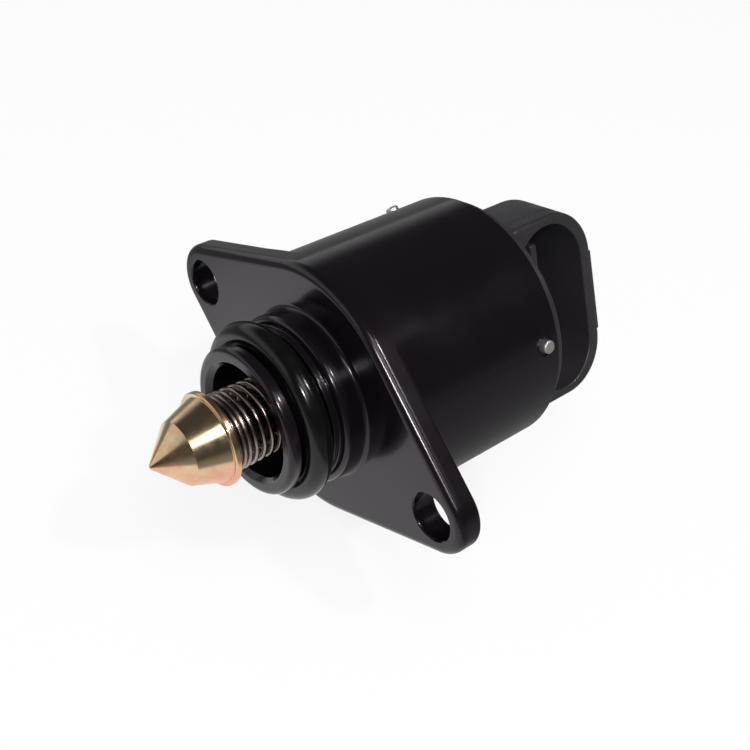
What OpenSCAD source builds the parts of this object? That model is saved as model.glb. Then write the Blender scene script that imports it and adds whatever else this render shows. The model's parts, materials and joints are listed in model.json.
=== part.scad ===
// Idle air control valve: a stepping motor in a flanged housing drives a conical
// pintle in and out of its spigot. X is the motor axis and points to the rear,
// Y runs along the two bolt holes, and the origin is on the mounting face.

/* [Mounting flange] */
// Distance between the centres of the two bolt holes
bolt_spacing = 50; // [48:0.5:58]
// Radius of each bolt hole
bolt_hole_r = 3.3; // [2.6:0.1:3.9]
// Chamfer on the front of each bolt hole
hole_chamfer = 0.25; // [0.1:0.05:0.5]
// Metal round each bolt hole
flange_land = 2.2; // [1.8:0.1:4]
// Thickness of the flange
flange_t = 3.5; // [3:0.1:4.5]
// Rounding along the front edge of the flange
flange_round = 0.9; // [0.4:0.1:1.2]

/* [Housing] */
// Wall of the can
can_wall = 1.5; // [1.1:0.1:1.8]
// Chamfer on the rear edge of the can
can_chamfer = 0.35; // [0.2:0.05:0.5]
// How far the connector cap plugs into the can
plug_len = 7.1; // [6.8:0.1:9]

/* [Spigot] */
// Wall between the spigot's bore and the seal groove
spigot_wall = 1.1; // [0.9:0.05:1.4]
// How far the boss behind the groove stands out from the collar
boss_step = 1.2; // [0.8:0.1:2]
// Length of that boss
boss_len = 3.5; // [2.5:0.1:4.5]
// Rounding on the front edge of the boss
boss_round = 0.8; // [0.4:0.1:1]
// Height of the collar behind the seal groove
collar_step = 1.8; // [1.5:0.1:2.1]
// Length of the collar
collar_len = 0.95; // [0.6:0.05:1.5]
// Width of the seal groove
groove_w = 4.8; // [4.2:0.1:6]
// Height of the lip in front of the seal groove
lip_step = 1.4; // [1:0.1:2]
// Length of the front lip
lip_len = 1.7; // [1.2:0.1:2.5]
// Chamfer at the mouth of the spigot's bore
mouth_chamfer = 0.7; // [0.4:0.1:0.9]

/* [Flange seal] */
// Section radius of the rubber ring on the spigot
oring_wire_r = 1.75; // [1.5:0.05:1.9]

/* [Pintle] */
// Distance from the mounting face to the tip, fully extended
reach = 25.1; // [24.9:0.1:28]
// How far the pintle draws back
travel = 6.4; // [4:0.1:6.4]
// Radius at the base of the tip cone
tip_r = 4.4; // [4:0.1:4.8]
// Length of the tip cone
tip_len = 4.3; // [3.5:0.1:5]
// Rounding at the very tip
tip_round = 0.5; // [0.3:0.05:0.8]
// Length of the rear cone
cone_len = 4.3; // [3.5:0.1:4.5]
// How far the rim stands out past the spring
rim_lap = 1.17; // [0.9:0.01:1.4]
// How far the rim stands out past the rear cone
rim_step = 0.6; // [0.4:0.05:1]
// Thickness of that rim
rim_t = 0.85; // [0.6:0.05:1.2]
// Length of the pilot inside the spring
pilot_len = 1.5; // [1:0.1:2]

/* [Spring] */
// Radius of the spring's wire
wire_r = 0.36; // [0.3:0.01:0.36]
// Mean radius of the coils
coil_r = 4.97; // [4.85:0.01:5.1]
// Number of turns
turns = 12; // [8:0.5:12]

/* [Lead screw] */
// Outside radius of the screw
screw_r = 2.9; // [2.6:0.05:3]
// Depth of each of its two flats
flat_depth = 0.6; // [0.4:0.05:0.8]
// Length of the nut thread in the rotor hub
nut_len = 6; // [4:0.5:6.5]

/* [Ball bearing] */
// Depth of the bearing from its bore to its outside
bearing_section = 4; // [3.8:0.05:4.3]
// Width of the bearing
bearing_w = 5; // [4.5:0.1:5.5]
// Number of balls
ball_count = 7; // [6:1:8]

/* [Stepping motor] */
// Length of one coil section
section_len = 9.4; // [8.8:0.1:11]
// Depth of one coil from its poles to the can
coil_depth = 5.05; // [4.5:0.05:6]
// Thickness of the pole sheet
sheet_t = 1; // [0.8:0.05:1.1]
// Pole teeth on each pole piece
tooth_count = 6; // [5:1:7]
// Gap between the magnet and the pole teeth
air_gap = 0.35; // [0.25:0.05:0.5]

/* [Connector] */
// Direction that the connector faces, about the motor axis, from the first bolt hole
plug_angle = 150; // [120:5:170]
// Distance of the socket's mouth from the motor axis
mouth_out = 10.25; // [9.5:0.05:11]
// Length of the socket's mouth
mouth_l = 25; // [24:0.5:26]
// Width of the socket's mouth
mouth_w = 12.8; // [11.5:0.1:14]
// Depth of the socket
socket_depth = 10.2; // [8:0.1:10.6]
// Wall around the socket
shroud_wall = 1.3; // [1:0.05:1.5]
// How much wider the shell is at each end of its root than at its mouth
root_flare = 1.55; // [0.5:0.05:1.8]
// Spacing of the four terminals
pin_pitch = 5.4; // [4.8:0.1:5.6]
// Thickness of the cap's rim behind the can
cap_rim_t = 1.4; // [1:0.1:2]

/* [Retaining pins] */
// Radius of each pin
pin_r = 0.95; // [0.7:0.05:1.1]
// How far each pin stands out of the can
pin_proud = 0.95; // [0.4:0.05:1.4]
// Distance of the pins from the can's rear edge
pin_setback = 2.8; // [2.2:0.1:3]

/* [Hidden] */
$fn = 96;
// Half the play in a running or pressed fit
fit = 0.05;
// How far a cut runs past the face that it opens
over = 1;
// Room between two faces that pass each other
room = 0.6;

half_spacing = bolt_spacing / 2;
flange_end_r = bolt_hole_r + flange_land;
stack_end = flange_t + 2 * section_len;
can_len = stack_end + plug_len;

// The hub's bores and journals, from the screw outwards
hub_play = 0.25;
hub_bore_r = screw_r + hub_play;
journal_wall = 0.8;
hub_journal_r = hub_bore_r + journal_wall;
hub_wall = 2.4;
hub_r = hub_bore_r + hub_wall;
rear_journal_wall = 1.25;
rear_journal_r = hub_bore_r + rear_journal_wall;
bush_t = 1.2;
bush_r = rear_journal_r + bush_t;

// The bearing, its ball track and its cage
bearing_bore_r = hub_journal_r + fit;
bearing_r = bearing_bore_r + bearing_section;
ball_ring_r = bearing_bore_r + bearing_section / 2;
ball_r = 0.3 * bearing_section;
race_t = 0.275 * bearing_section;
cage_t = 0.225 * bearing_section;
cage_margin = 0.5;
cage_w = 2 * (ball_r + cage_margin);

// The bottom of the bore, with the ledge that the spring seat and the bearing share
bore_end = 1.2;
ledge_t = 1.2;
ledge_w = 1.6;
ledge_hole_r = bearing_r - ledge_w;
key_w = 3;
key_len = 0.8;
key_depth = 1;
key_r = ledge_hole_r + key_depth;
seat_t = 1;
seat_x = bore_end - seat_t;

// The bearing's pocket, in a boss inside the can
bearing_x = bore_end + ledge_t;
pocket_end = bearing_x + bearing_w;
pocket_wall = 1.4;
pocket_boss_r = bearing_r + pocket_wall;

// The spigot: its radii from the bore outwards, its places from the face forwards
bore_step = 0.1;
spigot_bore_r = bearing_r - bore_step;
groove_r = spigot_bore_r + spigot_wall;
lip_r = groove_r + lip_step;
collar_r = groove_r + collar_step;
boss_r = collar_r + boss_step;
collar_front = -boss_len - collar_len;
groove_front = collar_front - groove_w;
spigot_front = groove_front - lip_len;
lip_round = 0.45;
boss_fillet = 0.6;
oring_x = collar_front - groove_w / 2;
oring_ring_r = groove_r + oring_wire_r + fit;

// The stator and the can round it, from the poles outwards
pole_play = 0.3;
pole_bore_r = pocket_boss_r + pole_play;
coil_play = 0.1;
bobbin_in = pole_bore_r + sheet_t + coil_play;
bobbin_r = bobbin_in + coil_depth;
bobbin_wall = 0.7;
winding_in = bobbin_in + bobbin_wall + fit;
winding_drop = 0.6;
winding_r = bobbin_r - winding_drop;
cup_in = bobbin_r + coil_play;
cup_r = cup_in + sheet_t;
can_in = cup_r + fit;
can_r = can_in + can_wall;
tooth_base = 24;
tooth_tip = 13;
tooth_room = 0.8;
tooth_len = section_len - 2 * sheet_t - tooth_room;
tooth_pitch = 360 / tooth_count;

// The rotor
magnet_r = pole_bore_r - air_gap;
magnet_in = hub_r + fit;
magnet_x = pocket_end + room;
magnet_setback = 0.9;
magnet_end = stack_end - magnet_setback;
hub_front = bearing_x - room;
shoulder_drop = 0.1;
hub_shoulder_r = bearing_bore_r + race_t - shoulder_drop;
nut_setback = 1.5;
nut_x = magnet_x + nut_setback;
journal_len = 4.7;
hub_end = stack_end + journal_len;
bush_gap = 0.3;
bush_x = stack_end + bush_gap;
bush_lap = 0.4;
bush_end = hub_end + bush_lap;

// The pintle and its screw, fully extended
tip_x = -reach;
cone_x = tip_x + tip_len;
rim_x = cone_x + cone_len;
rim_end = rim_x + rim_t;
rim_r = coil_r + wire_r + rim_lap;
rim_round = 0.3;
cone_r = rim_r - rim_step;
pilot_play = 0.35;
pilot_r = coil_r - wire_r - pilot_play;
pilot_end = rim_end + pilot_len;
pilot_chamfer = 0.4;
neck_step = 0.5;
neck_r = screw_r - neck_step;
neck_len = 3.2;
screw_flat = screw_r - flat_depth;
screw_tail = 0.8;
screw_end = nut_x + nut_len + screw_tail;
screw_chamfer = 0.4;
screw_room = 1;
hub_bore_end = screw_end + travel + screw_room;

// The spring, which sits on the rim at one end and on the seat at the other
spring_front = rim_end + wire_r;
spring_rear = seat_x - wire_r;
front_closed = 2;
rear_closed = 1.3;
turn_gap = 0.06;
closed_pitch = 2 * wire_r + turn_gap;
open_pitch = (spring_rear - spring_front - (front_closed + rear_closed) * closed_pitch)
    / (turns - front_closed - rear_closed);
steps_per_turn = 18;
wire_sides = 8;

// The socket, in its own directions: y outwards and z along the row of terminals
near_wall = 2;
far_step = 0.7;
far_wall = shroud_wall + far_step;
socket_x = can_len + near_wall;
socket_end = socket_x + mouth_w;
shroud_end = socket_end + far_wall;
shroud_half = mouth_l / 2 + shroud_wall;
end_round = mouth_w / 2 - fit;
corner_wall = 0.95;
near_round = 3;
outer_round = end_round + corner_wall;
socket_floor = mouth_out - socket_depth;
floor_t = 3.2;
shroud_back = socket_floor - floor_t;
back_wall = 0.6;
root_out = 2;
root_run = 1.2;
root_round = 9.7;
slice = 0.02;
band_setback = 2;
band_out = mouth_out - band_setback;
band_w = 0.5;
band_depth = 0.3;
latch_half = 6.2;
latch_t = 0.6;
latch_drop = 0.2;
latch_out = mouth_out - latch_drop;
latch_len = 6;
rib_gap = 3.3;
rib_x = socket_x + rib_gap;
rib_t = 1.2;
rib_near = 5;
rib_len = 5.5;
rib_drop = 0.5;

// The terminals, which bend twice inside the cap to reach the coils
blade_w = 1.5;
blade_t = 0.8;
blade_x = socket_x + mouth_w / 2;
blade_setback = 2.8;
blade_tip = mouth_out - blade_setback;
blade_taper = 0.7;
run_depth = 1.6;
run_out = socket_floor - run_depth;
leg_setback = 0.1;
leg_x = can_len - leg_setback;
leg_step = 0.5;
leg_out = bobbin_in + leg_step;
foot_x = stack_end - sheet_t;
foot_room = 0.4;

// The cap, its seal and the pins that hold it
cap_rim_step = 0.85;
cap_rim_r = can_r - cap_rim_step;
seal_r = 0.8;
seal_setback = 1.9;
seal_x = stack_end + seal_setback;
seal_groove_r = can_in - 2 * seal_r - 2 * fit;
pin_x = can_len - pin_setback;
pin_depth = 2.3;
pin_in = can_in - pin_depth;
pin_end = can_r + pin_proud;
pin_chamfer = 0.2;
spot_margin = 0.42;
spot_r = pin_r + spot_margin;
spot_depth = 0.25;

// A profile of radius and distance along the axis, turned about the motor axis
module turned() {
    rotate([0, 90, 0]) rotate_extrude() children();
}

// A plain ring from x0 to x1
module ring(x0, x1, inner, outer) {
    turned() translate([inner, x0]) square([outer - inner, x1 - x0]);
}

// A plain bar along the motor axis
module bar(x0, x1, r) {
    translate([x0, 0, 0]) rotate([0, 90, 0]) cylinder(r = r, h = x1 - x0);
}

// A bar whose two ends have their own radii
module taper(x0, x1, r0, r1) {
    translate([x0, 0, 0]) rotate([0, 90, 0]) cylinder(r1 = r0, r2 = r1, h = x1 - x0);
}

// Turns a shape that was drawn on +Y to an angle about the motor axis
module at(angle) {
    rotate([angle, 0, 0]) children();
}

// An outline in x and z, carried outwards from y0 to y1
module outward(y0, y1) {
    translate([0, y1, 0]) rotate([90, 0, 0]) linear_extrude(y1 - y0) children();
}

// A strip from inner to w and t high, with its lower outer corner rounded
module rounded_edge(w, t, f, inner = 0) {
    translate([inner, f]) square([w - inner, t - f]);
    translate([inner, 0]) square([w - f - inner, t]);
    translate([w - f, f]) circle(r = f);
}

// A rectangle from x0 to x1 and half to each side, with its own radius at each end
module rounded_slot(x0, x1, half, near, far) {
    translate([x0 + near, -half]) square([x1 - x0 - near - far, 2 * half]);
    translate([x0, near - half]) square([near, 2 * (half - near)]);
    translate([x1 - far, far - half]) square([far, 2 * (half - far)]);
    for (side = [-1, 1]) {
        translate([x0 + near, side * (half - near)]) circle(r = near);
        translate([x1 - far, side * (half - far)]) circle(r = far);
    }
}

// The flange: a disc as wide as the can and one about each bolt hole, all with the
// same rounded front edge, wrapped in a common skin
module flange_plate() {
    hull() {
        turned($fn = 60) rounded_edge(can_r, flange_t, flange_round, $fn = 24);
        for (side = [-1, 1]) translate([0, side * half_spacing, 0])
            turned($fn = 48) rounded_edge(flange_end_r, flange_t, flange_round, $fn = 24);
    }
}

// The outside of the stepped spigot, with its seal groove
module spigot_outside() {
    turned() {
        translate([0, -boss_len]) rounded_edge(boss_r, boss_len + flange_t / 2, boss_round);
        translate([0, collar_front]) square([collar_r, collar_len + over]);
        translate([0, groove_front - over / 2]) square([groove_r, groove_w + over]);
        translate([0, spigot_front]) rounded_edge(lip_r, lip_len, lip_round);
        difference() {
            translate([boss_r - over, -boss_fillet]) square([over + boss_fillet, 2 * boss_fillet]);
            translate([boss_r + boss_fillet, -boss_fillet]) circle(r = boss_fillet);
        }
    }
}

// The notches in the bore's ledge, which the keys of the spring seat enter
module key_pair(width, length) {
    for (turn = [90, 270]) at(turn)
        translate([bore_end - over, ledge_hole_r - over, -width / 2])
            cube([length + over, key_r - ledge_hole_r + over, width]);
}

// Places its children at each of the three retaining pins, with +Y outwards
module at_pins() {
    for (turn = [-120, 0, 120]) at(plug_angle + turn) translate([pin_x, 0, 0]) children();
}

module valve_housing() {
    color("#1c1b1e") difference() {
        union() {
            flange_plate();
            spigot_outside();
            turned() polygon([
                [can_in, flange_t], [can_r, flange_t], [can_r, can_len - can_chamfer],
                [can_r - can_chamfer, can_len], [can_in, can_len]
            ]);
            bar(flange_t, pocket_end, pocket_boss_r);
        }
        bar(spigot_front - over, bore_end, spigot_bore_r);
        taper(spigot_front, spigot_front + mouth_chamfer, spigot_bore_r + mouth_chamfer, spigot_bore_r);
        bar(0, bearing_x + over, ledge_hole_r);
        key_pair(key_w + 2 * fit, key_len);
        bar(bearing_x, pocket_end + over, bearing_r + fit);
        for (side = [-1, 1]) translate([0, side * half_spacing, 0]) {
            bar(-over, flange_t + over, bolt_hole_r);
            taper(0, hole_chamfer, bolt_hole_r + hole_chamfer, bolt_hole_r);
        }
        at_pins() rotate([-90, 0, 0]) {
            cylinder(r = pin_r + fit, h = can_r + over);
            translate([0, 0, can_r - spot_depth]) cylinder(r = spot_r, h = spot_depth + over);
        }
    }
}

module o_ring() {
    color("#1b1b1b") turned() translate([oring_ring_r, oring_x]) circle(r = oring_wire_r);
}

// A cone with a ball at its tip, a flatter second cone, the rim and the pilot
module pintle() {
    slope = atan(tip_r / tip_len);
    ball_x = tip_x + tip_round;
    meet_r = tip_round * cos(slope);
    meet_x = ball_x - tip_round * sin(slope);
    color("#c9b47e") difference() {
        turned() {
            intersection() {
                translate([0, ball_x]) circle(r = tip_round);
                translate([0, tip_x]) square([tip_round, meet_x - tip_x]);
            }
            polygon([
                [0, meet_x], [meet_r, meet_x], [tip_r, cone_x], [cone_r, rim_x], [0, rim_x]
            ]);
            translate([0, rim_x]) rounded_edge(rim_r, rim_t, rim_round);
            polygon([
                [0, rim_x], [pilot_r, rim_x], [pilot_r, pilot_end - pilot_chamfer],
                [pilot_r - pilot_chamfer, pilot_end], [0, pilot_end]
            ]);
        }
        bar(pilot_end - neck_len, pilot_end + over, neck_r + fit);
    }
}

// A threaded bar with two flats, and a round neck pressed into the pintle
module lead_screw() {
    color("#8f8f92") {
        bar(pilot_end - neck_len, pilot_end, neck_r);
        intersection() {
            union() {
                bar(pilot_end, screw_end - screw_chamfer, screw_r);
                taper(screw_end - screw_chamfer, screw_end, screw_r, screw_r - screw_chamfer);
            }
            translate([pilot_end, -screw_r, -screw_flat])
                cube([screw_end - pilot_end, 2 * screw_r, 2 * screw_flat]);
        }
    }
}

// How far along the axis the wire is after a number of turns
function coil_x(turn) = spring_front
    + closed_pitch * min(turn, front_closed)
    + open_pitch * max(0, min(turn, turns - rear_closed) - front_closed)
    + closed_pitch * max(0, turn - turns + rear_closed);

// One ring of points round the wire, after a number of turns
function coil_ring(turn) = [
    for (side = [0:wire_sides - 1])
        let (
            swing = 360 * side / wire_sides,
            r = coil_r + wire_r * cos(swing),
            around = 360 * turn
        )
        [coil_x(turn) + wire_r * sin(swing), r * cos(around), r * sin(around)]
];

module pintle_spring() {
    last = turns * steps_per_turn;
    points = [for (step = [0:last]) each coil_ring(step / steps_per_turn)];
    walls = [
        for (step = [0:last - 1], side = [0:wire_sides - 1])
            let (
                next_side = (side + 1) % wire_sides,
                here = step * wire_sides,
                ahead = here + wire_sides
            )
            [here + side, here + next_side, ahead + next_side, ahead + side]
    ];
    first_end = [for (side = [wire_sides - 1:-1:0]) side];
    last_end = [for (side = [0:wire_sides - 1]) last * wire_sides + side];
    color("#54504c") polyhedron(points = points, faces = concat(walls, [first_end, last_end]));
}

// A washer with a flatted hole for the screw, and two keys on its back
module spring_seat() {
    color("#6d6a66") difference() {
        union() {
            bar(seat_x, bore_end, spigot_bore_r - fit);
            intersection() {
                key_pair(key_w, key_len - fit);
                bar(seat_x, bearing_x, key_r - fit);
            }
        }
        intersection() {
            bar(seat_x - over, bearing_x, screw_r + 2 * fit);
            translate([seat_x - over, -screw_r - over, -screw_flat - 2 * fit])
                cube([bearing_x - seat_x + over, 2 * (screw_r + over), 2 * (screw_flat + 2 * fit)]);
        }
        bar(bore_end, bearing_x, ledge_hole_r + fit);
    }
}

// The groove that the balls run in
module ball_track() {
    turned() translate([ball_ring_r, bearing_x + bearing_w / 2]) circle(r = ball_r + fit);
}

module bearing_outer_race() {
    color("#b7b9bc") difference() {
        ring(bearing_x, pocket_end, bearing_r - race_t, bearing_r);
        ball_track();
    }
}

module bearing_inner_race() {
    color("#b7b9bc") difference() {
        ring(bearing_x, pocket_end, bearing_bore_r, bearing_bore_r + race_t);
        ball_track();
    }
}

// Places its children at each ball
module at_balls() {
    for (ball = [0:ball_count - 1]) at(360 * ball / ball_count)
        translate([bearing_x + bearing_w / 2, ball_ring_r, 0]) children();
}

module bearing_balls() {
    color("#d9dbde") at_balls() sphere(r = ball_r);
}

module ball_cage() {
    middle = bearing_x + bearing_w / 2;
    color("#b08d3c") difference() {
        ring(middle - cage_w / 2, middle + cage_w / 2, ball_ring_r - cage_t / 2, ball_ring_r + cage_t / 2);
        at_balls() translate([0, -cage_t, 0]) rotate([-90, 0, 0])
            cylinder(r = ball_r + fit, h = 2 * cage_t);
    }
}

// The moulded hub: a journal in the bearing, a shoulder behind it, the magnet's
// seat with the nut thread inside, and a journal in the rear bush
module rotor_hub() {
    color("#e6e1d2") difference() {
        union() {
            bar(hub_front, pocket_end, hub_journal_r);
            bar(pocket_end, magnet_x, hub_shoulder_r);
            bar(magnet_x, magnet_end, hub_r);
            bar(magnet_end, hub_end, rear_journal_r);
        }
        bar(hub_front - over, nut_x, hub_bore_r);
        bar(nut_x - over, nut_x + nut_len + over, screw_r + fit);
        bar(nut_x + nut_len, hub_bore_end, hub_bore_r);
    }
}

module rotor_magnet() {
    color("#3a3a3d") ring(magnet_x, magnet_end, magnet_in, magnet_r);
}

module rear_bush() {
    color("#b5813f") ring(bush_x, bush_end, rear_journal_r + fit, bush_r - fit);
}

// One ring of pole teeth, bent from the inner edge of a plate that is sheet_t thick
module pole_teeth() {
    base_half = pole_bore_r * sin(tooth_base / 2);
    tip_half = pole_bore_r * sin(tooth_tip / 2);
    for (tooth = [0:tooth_count - 1]) at(tooth * tooth_pitch) intersection() {
        ring(sheet_t / 2, sheet_t + tooth_len, pole_bore_r, pole_bore_r + sheet_t);
        outward(0, pole_bore_r + sheet_t + over) polygon([
            [0, -base_half], [sheet_t, -base_half], [sheet_t + tooth_len, -tip_half],
            [sheet_t + tooth_len, tip_half], [sheet_t, base_half], [0, base_half]
        ]);
    }
}

// The stamping that closes one end of a coil and wraps round it
module pole_cup() {
    ring(0, sheet_t, pole_bore_r, cup_r);
    ring(0, section_len - sheet_t, cup_in, cup_r);
    pole_teeth();
}

// The flat stamping at the coil's other end, its teeth between those of the cup
module pole_plate() {
    translate([section_len, 0, 0]) mirror([1, 0, 0]) at(tooth_pitch / 2) {
        ring(0, sheet_t, pole_bore_r, cup_r);
        pole_teeth();
    }
}

// The moulded reel for one winding
module bobbin() {
    flange_in = section_len - sheet_t - bobbin_wall;
    ring(sheet_t, section_len - sheet_t, bobbin_in, bobbin_in + bobbin_wall);
    ring(sheet_t, sheet_t + bobbin_wall, bobbin_in, bobbin_r);
    ring(flange_in, flange_in + bobbin_wall, bobbin_in, bobbin_r);
}

module winding() {
    ring(sheet_t + bobbin_wall, section_len - sheet_t - bobbin_wall, winding_in, winding_r);
}

module front_section() {
    translate([flange_t, 0, 0]) children();
}

// The rear section is the front one turned round, and a quarter of a pitch on
module rear_section() {
    translate([stack_end, 0, 0]) mirror([1, 0, 0]) at(tooth_pitch / 4) children();
}

module front_pole_cup() {
    color("#a9abac") front_section() pole_cup();
}

module front_pole_plate() {
    color("#a9abac") front_section() pole_plate();
}

module rear_pole_plate() {
    color("#a9abac") rear_section() pole_plate();
}

// Its end wall has a slot for each terminal's foot
module rear_pole_cup() {
    slot_t = blade_t + 2 * foot_room;
    slot_w = blade_w + 2 * foot_room;
    color("#a9abac") difference() {
        rear_section() pole_cup();
        for (place = [0:3]) at(plug_angle)
            translate([foot_x - over / 2, -leg_out - slot_t / 2, row_z(place) - slot_w / 2])
                cube([sheet_t + over, slot_t, slot_w]);
    }
}

module front_bobbin() {
    color("#e9e4d4") front_section() bobbin();
}

module front_winding() {
    color("#b5651d") front_section() winding();
}

module rear_bobbin() {
    color("#e9e4d4") rear_section() bobbin();
}

module rear_winding() {
    color("#b5651d") rear_section() winding();
}

// Where each of the four terminals stands along the row
function row_z(place) = (place - 1.5) * pin_pitch;

// A blade in the socket, a run to the cap's plug, a leg down and a foot forward
module terminal(place) {
    half_t = blade_t / 2;
    at(plug_angle) translate([0, 0, row_z(place) - blade_w / 2]) linear_extrude(blade_w) polygon([
        [blade_x + half_t, run_out - half_t],
        [blade_x + half_t, blade_tip - blade_taper],
        [blade_x, blade_tip],
        [blade_x - half_t, blade_tip - blade_taper],
        [blade_x - half_t, run_out + half_t],
        [leg_x - half_t, run_out + half_t],
        [leg_x - half_t, half_t - leg_out],
        [foot_x, half_t - leg_out],
        [foot_x, -half_t - leg_out],
        [leg_x + half_t, -half_t - leg_out],
        [leg_x + half_t, run_out - half_t]
    ]);
}

// The outline of the plug's shell at its mouth, made smaller or larger by grow
module shell_outline(grow) {
    rounded_slot(can_len, shroud_end + grow, shroud_half + grow, near_round, outer_round + grow);
}

// The plug's shell: it flares from the mouth to its root, has a groove round it
// and a latch on its rear side, and a block behind it carries the terminals
module shroud_outside() {
    difference() {
        hull($fn = 48) {
            outward(mouth_out - slice, mouth_out) shell_outline(0, $fn = 48);
            outward(root_out, root_out + slice)
                rounded_slot(can_len, shroud_end + root_run, shroud_half + root_flare,
                    near_round, root_round, $fn = 48);
        }
        outward(band_out - band_w, band_out) difference() {
            translate([can_len + cap_rim_t, -shroud_half - 2 * root_flare])
                square([shroud_end, 2 * (shroud_half + 2 * root_flare)]);
            shell_outline(-band_depth / 2);
        }
    }
    outward(shroud_back, root_out + over)
        rounded_slot(can_len, socket_end + back_wall, mouth_l / 2 + back_wall, near_round, end_round);
    translate([0, 0, -latch_half]) linear_extrude(2 * latch_half) polygon([
        [socket_end + over, latch_out], [shroud_end + latch_t, latch_out],
        [shroud_end + root_run, latch_out - latch_len + latch_t],
        [shroud_end, latch_out - latch_len], [socket_end + over, latch_out - latch_len]
    ]);
}

// The socket, with a guide wall left standing at each end, in front of the terminals
module socket_cut() {
    difference() {
        outward(socket_floor, mouth_out + over)
            rounded_slot(socket_x, socket_end, mouth_l / 2, end_round, end_round);
        for (side = [-1, 1])
            translate([rib_x, socket_floor - over, side * (rib_near + rib_len / 2) - rib_len / 2])
                cube([rib_t, socket_depth + over - rib_drop, rib_len]);
    }
}

module connector_cap() {
    color("#202124") difference() {
        union() {
            bar(stack_end, can_len + over / 2, can_in - fit);
            bar(can_len, can_len + cap_rim_t, cap_rim_r);
            at(plug_angle) shroud_outside();
        }
        at(plug_angle) socket_cut();
        for (place = [0:3]) terminal(place);
        bar(stack_end - over, bush_end, bush_r);
        ring(seal_x - seal_r - fit, seal_x + seal_r + fit, seal_groove_r, can_r + over);
        at_pins() translate([0, pin_in, 0]) rotate([-90, 0, 0]) cylinder(r = pin_r + fit, h = can_r);
    }
}

module cap_seal() {
    color("#151515") turned() translate([can_in - fit - seal_r, seal_x]) circle(r = seal_r);
}

module retaining_pins() {
    color("#d0d2d4") at_pins() rotate([-90, 0, 0]) {
        translate([0, 0, pin_in]) cylinder(r = pin_r, h = pin_end - pin_in - pin_chamfer);
        translate([0, 0, pin_end - pin_chamfer])
            cylinder(r1 = pin_r, r2 = pin_r - pin_chamfer, h = pin_chamfer);
    }
}

module terminal_a() { color("#c9c3b0") terminal(0); }
module terminal_b() { color("#c9c3b0") terminal(1); }
module terminal_c() { color("#c9c3b0") terminal(2); }
module terminal_d() { color("#c9c3b0") terminal(3); }

valve_housing();
o_ring();
pintle();
lead_screw();
pintle_spring();
spring_seat();
bearing_outer_race();
bearing_inner_race();
bearing_balls();
ball_cage();
rotor_hub();
rotor_magnet();
rear_bush();
front_pole_cup();
front_pole_plate();
rear_pole_plate();
rear_pole_cup();
front_bobbin();
front_winding();
rear_bobbin();
rear_winding();
connector_cap();
cap_seal();
retaining_pins();
terminal_a();
terminal_b();
terminal_c();
terminal_d();
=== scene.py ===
import json
import math
import bmesh
import bpy
import numpy as np
from mathutils import Matrix, Vector


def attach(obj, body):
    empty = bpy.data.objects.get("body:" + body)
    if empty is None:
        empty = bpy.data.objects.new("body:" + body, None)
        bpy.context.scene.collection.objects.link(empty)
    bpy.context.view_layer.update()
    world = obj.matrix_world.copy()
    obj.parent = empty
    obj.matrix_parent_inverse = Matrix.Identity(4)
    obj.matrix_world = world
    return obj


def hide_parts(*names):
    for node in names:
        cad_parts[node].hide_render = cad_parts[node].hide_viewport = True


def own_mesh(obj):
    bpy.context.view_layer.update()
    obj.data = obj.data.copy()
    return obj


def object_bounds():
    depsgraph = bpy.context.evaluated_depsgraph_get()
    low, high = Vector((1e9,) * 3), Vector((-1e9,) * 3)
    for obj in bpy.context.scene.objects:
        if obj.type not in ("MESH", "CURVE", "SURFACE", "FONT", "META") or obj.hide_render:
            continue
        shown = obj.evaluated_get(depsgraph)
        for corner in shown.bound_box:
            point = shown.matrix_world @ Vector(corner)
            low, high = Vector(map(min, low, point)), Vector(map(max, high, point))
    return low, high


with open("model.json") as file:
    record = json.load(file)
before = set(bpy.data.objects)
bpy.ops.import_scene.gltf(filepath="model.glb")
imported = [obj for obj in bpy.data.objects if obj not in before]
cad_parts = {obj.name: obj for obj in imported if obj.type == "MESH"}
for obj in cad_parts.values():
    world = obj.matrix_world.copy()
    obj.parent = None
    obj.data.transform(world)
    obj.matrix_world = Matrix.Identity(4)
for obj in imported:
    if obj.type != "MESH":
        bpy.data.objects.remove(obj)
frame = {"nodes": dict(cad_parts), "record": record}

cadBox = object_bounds()
mm = 0.001  # sizes are in millimetres where no comment says metres, and meshes are in metres
perMetre = 1000  # millimetres
tau = 2 * math.pi

# Camera, as solved from the ellipses of the can, the spigot and the bolt holes
photoCamera = {
    "place": (-79.66, -79.03, 116.49),
    "aim": (9.83, -2.14, 0.0),
    "roll": 13.5,       # degrees, with the camera's right side raised
    "focal": 1200,      # pixels
    "frame": 750,       # pixels
    "sensor": 36,
    "clipStart": 0.01,  # metres
}


def makeCamera(settings):
    place, aim = Vector(settings["place"]) * mm, Vector(settings["aim"]) * mm
    ahead = (aim - place).normalized()
    level = ahead.cross(Vector((0, 0, 1))).normalized()
    over = level.cross(ahead)
    turn = math.radians(settings["roll"])
    right = level * math.cos(turn) + over * math.sin(turn)
    up = over * math.cos(turn) - level * math.sin(turn)
    data = bpy.data.cameras.new("photoCamera")
    data.sensor_width = settings["sensor"]
    data.lens = settings["focal"] * settings["sensor"] / settings["frame"]
    data.clip_start = settings["clipStart"]
    camera = bpy.data.objects.new("photoCamera", data)
    camera.matrix_world = Matrix((
        (right.x, up.x, -ahead.x, place.x),
        (right.y, up.y, -ahead.y, place.y),
        (right.z, up.z, -ahead.z, place.z),
        (0, 0, 0, 1),
    ))
    bpy.context.scene.collection.objects.link(camera)
    bpy.context.scene.camera = camera


makeCamera(photoCamera)
print("camera placed")


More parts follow.
